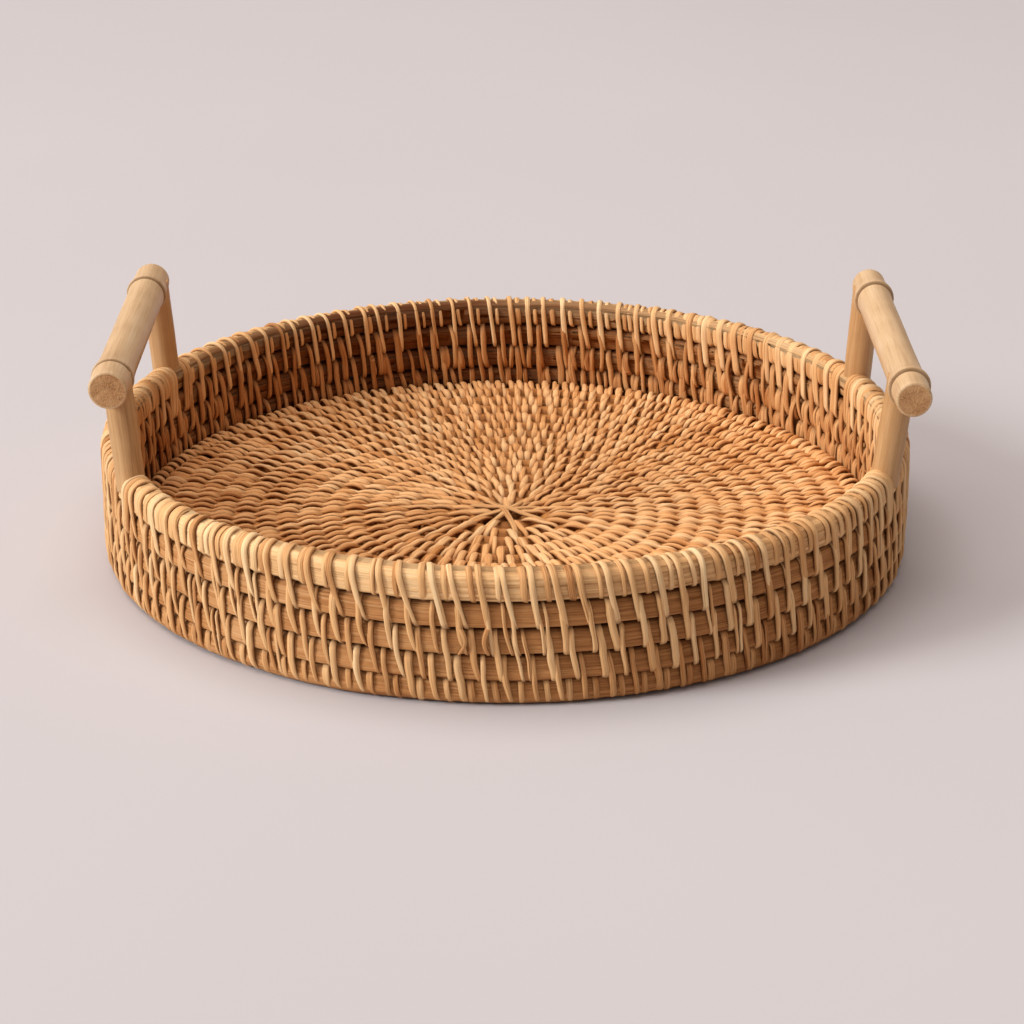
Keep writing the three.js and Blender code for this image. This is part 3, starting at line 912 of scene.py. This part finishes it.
def make_foot_wraps():
    """Thin wraps round the foot, between the ends of the lowest course."""
    rng = np.random.default_rng(70)
    pile = MeshPile()
    for k in range(STITCH_COUNT):
        angle = (k + COURSE_STEP * 3 + 0.5) * stitch_turn + rng.normal(0, 0.4 * MM) / rod_out
        width = STITCH_WIDTH * rng.uniform(0.85, 1.2)
        dull = 0.85 - 0.5 * darker_front_share(angle)
        lay_stitch(pile, foot_line(), angle, 2.6 * MM, width, STITCH_THICK * THIN_WRAP, rng, dull=dull)
    place(pile.to_object("foot_binding_strips", strip_finish), "rattan_strip", "foot_binding")


def make_rim_wraps():
    """Long wraps that lace the rim to the next row, thin ones between them, the closer lashing
    inside each handle, and the wraps that nestle the posts' feet."""
    rng = np.random.default_rng(80)
    piles = {}

    def pile_for(angle):
        return piles.setdefault(rim_run_of(angle), MeshPile())

    for k in range(STITCH_COUNT):
        angle = k * stitch_turn + rng.normal(0, 0.3 * MM) / rod_out
        loose = loose_share(angle)
        width = STITCH_WIDTH * rng.uniform(0.88, 1.15)
        width *= 1 + 0.45 * loose + 0.4 * share_near(angle, PULL_AND_SHADOW_SIDE, 0.5) - 0.3 * back_shade_share(angle)
        thick = STITCH_THICK * rng.uniform(0.9, 1.15)
        between = "lashing" in rim_run_of(angle)
        slant, claw = slant_at(angle, rng)
        if not near_post(angle, POST_ROOM):
            lay_stitch(pile_for(angle), rim_line(1, 0.1 * MM), angle, slant * 2.4,
                       width, thick, rng, claw=claw * 0.6, dull=1.2)
        close = max(loose, share_near(angle, PULL_AND_SHADOW_SIDE, 0.6)) > 0.45
        for shift in ((-0.36, 0.3) if close else (-0.4,)):
            short = angle + shift * stitch_turn
            if not between and not near_post(short, POST_ROOM):
                lay_stitch(pile_for(short), rim_line(0, 0.0), short, 3.6 * MM,
                           width * rng.uniform(0.65, 1.05), thick * THIN_WRAP, rng, dull=1.1)
    wraps = int(TAU * rod_out / LASH_PITCH)
    for k in range(wraps):
        angle = k * TAU / wraps + rng.normal(0, 0.3 * MM) / rod_out
        if "lashing" in rim_run_of(angle) and not near_post(angle, LASH_ROOM):
            lay_stitch(pile_for(angle), rim_line(0, 0.0), angle,
                       rng.normal(3.2, 0.5) * MM, rng.uniform(2.7, 3.5) * MM, STITCH_THICK * 0.8,
                       rng, dull=1.15)
    for post in post_angles.values():
        for shift in FOOT_WRAPS:
            angle = post + shift / rod_mid
            lay_stitch(pile_for(angle), rim_line(1, 0.15 * MM), angle,
                       rng.normal(0.0, 0.3) * MM, 2.5 * MM, STITCH_THICK, rng, dull=0.9)
    for node, pile in piles.items():
        place(pile.to_object(node + "_strips", strip_finish), "rattan_strip", node)


make_foot_wraps()
make_rim_wraps()


# ---------- floor ----------

def floor_rise(radius):
    """How far the floor has climbed at a radius."""
    share = np.clip((radius - FLOOR_FLAT) / (floor_radius - FLOOR_FLAT), 0, 1)
    return FLOOR_RISE * share ** 1.7


def make_coil(node, from_turn, to_turn, seed):
    """One spliced length of the floor's spiral, counted in turns from the middle."""
    rng = np.random.default_rng(seed)
    steps = int((to_turn - from_turn) * COIL_STEPS)
    turn = np.linspace(from_turn, to_turn, steps)
    angle = turn * TAU
    radius = turn * COIL_PITCH
    around_it = np.linspace(0, TAU, 12, endpoint=False)
    size = COIL_RADIUS + waves(radius * angle, rng, 4, 0.08, 0.02) * 0.07 * MM
    reach = radius[:, None] + COIL_FLAT * size[:, None] * np.cos(around_it)
    middle = floor_mid + floor_rise(radius)
    height = middle[:, None] + size[:, None] * np.sin(around_it)
    grid = around(reach, angle[:, None], height)
    run = (radius * angle)[:, None] / MM
    grain = grain_of(grid, run, around_it * COIL_RADIUS / MM, seed)
    pile = MeshPile()
    pile.add_grid(grid, grain, 0.4)
    place(pile.to_object(node + "_rod", core_finish), "rattan_core", node)


# Each length of the coil: node, first turn, last turn.
COIL_LENGTHS = [
    ("floor_coil_inner", 0.6, 5.7), ("floor_coil_middle", 5.701, 11.4),
    ("floor_coil_outer", 11.401, 16.4),
]
for index, (node, from_turn, to_turn) in enumerate(COIL_LENGTHS):
    make_coil(node, from_turn, to_turn, 90 + index)


def floor_profile(start, coils, step, top):
    """(radius, height) of a strip's back over one or two coils, from the gap inside them."""
    crest = COIL_RADIUS + 0.15 * MM
    hump = 0.35 + 0.65 * min(1.0, start / FLOOR_FLAT)
    # Each point is a share of a coil outwards, and millimetres above the coil's crest.
    points = [
        (-0.22, -2.6), (-0.04, -1.0), (0.2, 0.25 * hump), (0.5, 0.2 + 0.55 * hump), (0.8, 0.15),
    ]
    if coils == 2:
        points += [(1.03, 0.1 - 0.85 * hump), (1.25, -0.1), (1.5, 0.15 * hump)]
    points += [(coils - 0.25, -0.6), (coils - 0.02, -1.9), (coils + 0.14, -3.2)]
    line = []
    for share, height in points:
        radius = min(start + share * step, floor_radius + 0.6 * MM)
        rise = crest + height * MM
        middle = floor_mid + floor_rise(radius)
        line.append((radius, middle + rise if top else max(middle - rise, UNDER_CLEAR + UNDER_THICK)))
    return line


def ring_angles(rng):
    """Stitch angles ring by ring. Each ring's stitches stand between those of the ring inside."""
    rings = []
    radius = 1.05 * COIL_PITCH
    count = 9
    angles = np.arange(count) * TAU / count + rng.uniform(0, 1)
    while radius - COIL_PITCH < floor_radius - EDGE_STITCH:
        rings.append((radius, angles))
        following = np.append(angles[1:], angles[0] + TAU)
        middle = (angles + following) / 2
        radius += COIL_PITCH
        room = (following - angles) * radius
        missing = max(0, round(TAU * radius / FLOOR_STITCH_PITCH) - len(angles))
        widest = set(np.argsort(-room)[:missing])
        spread = []
        for i, at in enumerate(middle):
            if i in widest:
                quarter = (following[i] - angles[i]) / 4
                spread += [at - quarter, at + quarter]
            else:
                spread.append(at)
        angles = np.array(spread)
        shift = np.append(angles[1:], angles[0] + TAU) - np.insert(angles[:-1], 0, angles[-1] - TAU)
        angles = angles + rng.normal(0, 0.05, len(angles)) * shift / 2
    return rings


def lay_floor_stitch(pile, rng, start, coils, step, angle, count):
    """One stitch of a ring of count: over the coils on top, and back under them."""
    width = FLOOR_STITCH_WIDTH * rng.uniform(0.8, 1.2)
    thick = rng.uniform(1.1, 1.6) * MM
    # Painted shadow of the tray's left wall, darkening the outer floor on that side.
    dull = 1 - 0.4 * share_near(angle, PULL_AND_SHADOW_SIDE, 0.9) * start / floor_radius
    for top in (True, False):
        points = floor_profile(start, coils, step, top)
        if not top:
            points = points[::-1]
        samples = 16 if top else 8
        line = smooth_line(points, samples, 1)
        share = np.linspace(0, 1, samples)
        drift = rng.normal(2.0, 0.8) * MM * (share - 0.4)
        drift += rng.normal(0.2, 0.45) * MM * np.sin(math.pi * share)
        centre, outward = bent(line, angle + drift / np.maximum(line[:, 0], 4 * MM))
        out = share if top else 1 - share
        full = np.sin(np.clip(out / 0.3, 0, 1) * math.pi / 2) * 0.55 + 0.45
        narrow = 1 - 0.35 * np.clip((out - 0.4) / 0.35, 0, 1)
        narrow -= 0.2 * np.clip((out - 0.8) / 0.2, 0, 1)
        narrow *= 1 + waves(share, rng, 3, 0.5, 0.15) * 0.05
        if coils == 2 and start > FLOOR_FLAT / 2:
            narrow *= 1 - 0.22 * np.exp(-((out - 0.52) / 0.08) ** 2)
        room = np.clip(line[:, 0] * TAU / count / FLOOR_STITCH_PITCH, 0.4, 1.1)
        shape = full * narrow
        # Painted shade at both ends, where the stitch dives between the coils.
        out_of_shade = np.clip(np.minimum(out / 0.22, (1 - out) / 0.26) - 0.15, 0.0, 1.0)
        deep = (thick if top else UNDER_THICK) * (0.4 + 0.6 * shape) * room ** 0.5
        pile.add_strip(centre, outward, width * shape * room, deep, dull * rng.beta(5.0, 4.0),
                       rng.uniform(0, 40), out_of_shade, rng.normal(0, 0.18), ROUND_SECTION)


def make_floor_stitches():
    """Stitches over two coils each, or over one where the floor's edge leaves no more room."""
    rng = np.random.default_rng(100)
    pile = MeshPile()
    for radius, angles in ring_angles(rng):
        for angle in angles:
            turn = (angle / TAU) % 1.0
            start = radius - COIL_PITCH + turn * COIL_PITCH
            left_over = floor_radius - start
            if left_over < EDGE_STITCH:
                continue
            coils = 2 if left_over > 1.5 * COIL_PITCH else 1
            step = min(COIL_PITCH, left_over / coils)
            lay_floor_stitch(pile, rng, start, coils, step, angle, len(angles))
    place(pile.to_object("floor_stitching_strips", floor_finish), "floor_strip", "floor_stitching")


make_floor_stitches()


def make_star():
    """The strips that cross in the middle, each a little higher than the one before."""
    rng = np.random.default_rng(110)
    pile = MeshPile()
    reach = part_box("centre_star")[1].x
    height = floor_top + 0.1 * MM
    for i, (turn, aside, bend) in enumerate(STAR_STRIPS):
        half = TAU * turn
        share = np.linspace(-1, 1, 30)
        along = share * reach
        across = (aside + bend * share ** 2) * MM
        over = np.exp(-(share / 0.34) ** 2) * (0.5 + 0.35 * i)
        z = height + (over - 3.6 * np.abs(share) ** 5) * MM
        centre = np.stack([along * math.cos(half) - across * math.sin(half),
                           along * math.sin(half) + across * math.cos(half), z], axis=1)
        outward = np.tile((0.0, 0.0, 1.0), (len(share), 1))
        width = STAR_WIDTH * (1 - 0.25 * np.abs(share) ** 3)
        width *= 1 + waves(share, rng, 2, 1.5, 0.5) * 0.08
        # Painted shade towards the ends, where they dip into the floor.
        pile.add_strip(centre, outward, width, STAR_THICK, rng.uniform(0.45, 0.6), rng.uniform(0, 40),
                       np.clip(1.3 - np.abs(share) ** 4, 0, 1), 0.0, ROUND_SECTION)
    place(pile.to_object("centre_star_strips", strip_finish), "rattan_strip", "centre_star")


make_star()


# ---------- stage, light and camera ----------

STAGE_SIZE = 24.0  # metres
BRIGHT_SIDE = (-0.75, 0.0, 0.66)  # the room is brighter to the left and overhead
SKY_DIM = 0.06  # strength on the dark side
SKY_BRIGHT = 0.48  # and on the bright side
KEY_BEARING = math.radians(198)
KEY_HEIGHT = math.radians(26)
KEY_DISTANCE = 8.0
KEY_POWER = 485.0
OVERHEAD_SPOT = (-0.4, 0.3, 3.0)
OVERHEAD_POWER = 62.0
LAMP_SIZE = 3.0
LIT_POINT = (0.0, 0.0, 0.02)  # what both lamps face
LENS = 97.2
SENSOR = 36.0
CAMERA_PITCH = math.radians(22.1)
CAMERA_DISTANCE = 1.05
CAMERA_TARGET = (0.0025, 0.0, 0.009)


def make_stage():
    """A wide sheet of pale paper under the tray."""
    half = STAGE_SIZE / 2
    corners = [(-half, -half, 0), (half, -half, 0), (half, half, 0), (-half, half, 0)]
    mesh = bpy.data.meshes.new("stage_floor")
    mesh.from_pydata(corners, [], [(0, 1, 2, 3)])
    floor = add_object("stage_floor", mesh)
    m = Nodes("stage_paper")
    cloud = m.noise(m.spot(), 2.0, 2.0)
    colour = m.ramp(cloud, [(0.3, (0.575, 0.542, 0.545)), (0.7, (0.595, 0.562, 0.565))])
    m.link(colour, m.shader.inputs["Base Color"])
    m.shader.inputs["Roughness"].default_value = 0.9
    m.shader.inputs["Specular IOR Level"].default_value = 0.1
    mesh.materials.append(m.material)


def aim(thing, target):
    """Turns a lamp, which looks along its own -Z, to face a point."""
    direction = np.asarray(target) - np.asarray(thing.location)
    yaw = math.atan2(direction[1], direction[0]) - math.pi / 2
    pitch = math.atan2(direction[2], math.hypot(direction[0], direction[1]))
    thing.rotation_euler = (math.pi / 2 + pitch, 0, yaw)


def area_light(name, location, power, colour):
    data = bpy.data.lights.new(name, "AREA")
    data.shape = "DISK"
    data.size = LAMP_SIZE
    data.energy = power
    data.color = colour
    light = add_object(name, data)
    light.location = location
    aim(light, LIT_POINT)


def make_lights():
    """A room that is brighter on one side, a large key lamp and a soft one overhead."""
    world = bpy.data.worlds.new("soft_room")
    world.use_nodes = True
    tree = world.node_tree
    sky = tree.nodes["Background"]
    sky.inputs["Color"].default_value = (1.0, 0.90, 0.86, 1.0)
    facing = tree.nodes.new("ShaderNodeVectorMath")
    facing.operation = "DOT_PRODUCT"
    facing.inputs[1].default_value = BRIGHT_SIDE
    tree.links.new(tree.nodes.new("ShaderNodeTexCoord").outputs["Generated"], facing.inputs[0])
    span = tree.nodes.new("ShaderNodeMapRange")
    span.inputs["From Min"].default_value = -1.0
    span.inputs["To Min"].default_value = SKY_DIM
    span.inputs["To Max"].default_value = SKY_BRIGHT
    tree.links.new(facing.outputs["Value"], span.inputs["Value"])
    tree.links.new(span.outputs["Result"], sky.inputs["Strength"])
    bpy.context.scene.world = world
    level = KEY_DISTANCE * math.cos(KEY_HEIGHT)
    spot = (level * math.cos(KEY_BEARING), level * math.sin(KEY_BEARING),
            KEY_DISTANCE * math.sin(KEY_HEIGHT))
    area_light("key", spot, KEY_POWER, (0.97, 1.0, 1.03))
    area_light("overhead", OVERHEAD_SPOT, OVERHEAD_POWER, (1.0, 0.92, 0.88))


def make_camera():
    """In front of the tray, looking down at the photograph's angle."""
    data = bpy.data.cameras.new("camera")
    data.sensor_width = SENSOR
    data.lens = LENS
    camera = add_object("camera", data)
    x, y, z = CAMERA_TARGET
    back = CAMERA_DISTANCE * math.cos(CAMERA_PITCH)
    camera.location = (x, y - back, z + CAMERA_DISTANCE * math.sin(CAMERA_PITCH))
    camera.rotation_euler = (math.pi / 2 - CAMERA_PITCH, 0, 0)
    bpy.context.scene.camera = camera


make_stage()
make_lights()
make_camera()
bpy.context.scene.view_settings.view_transform = "Standard"
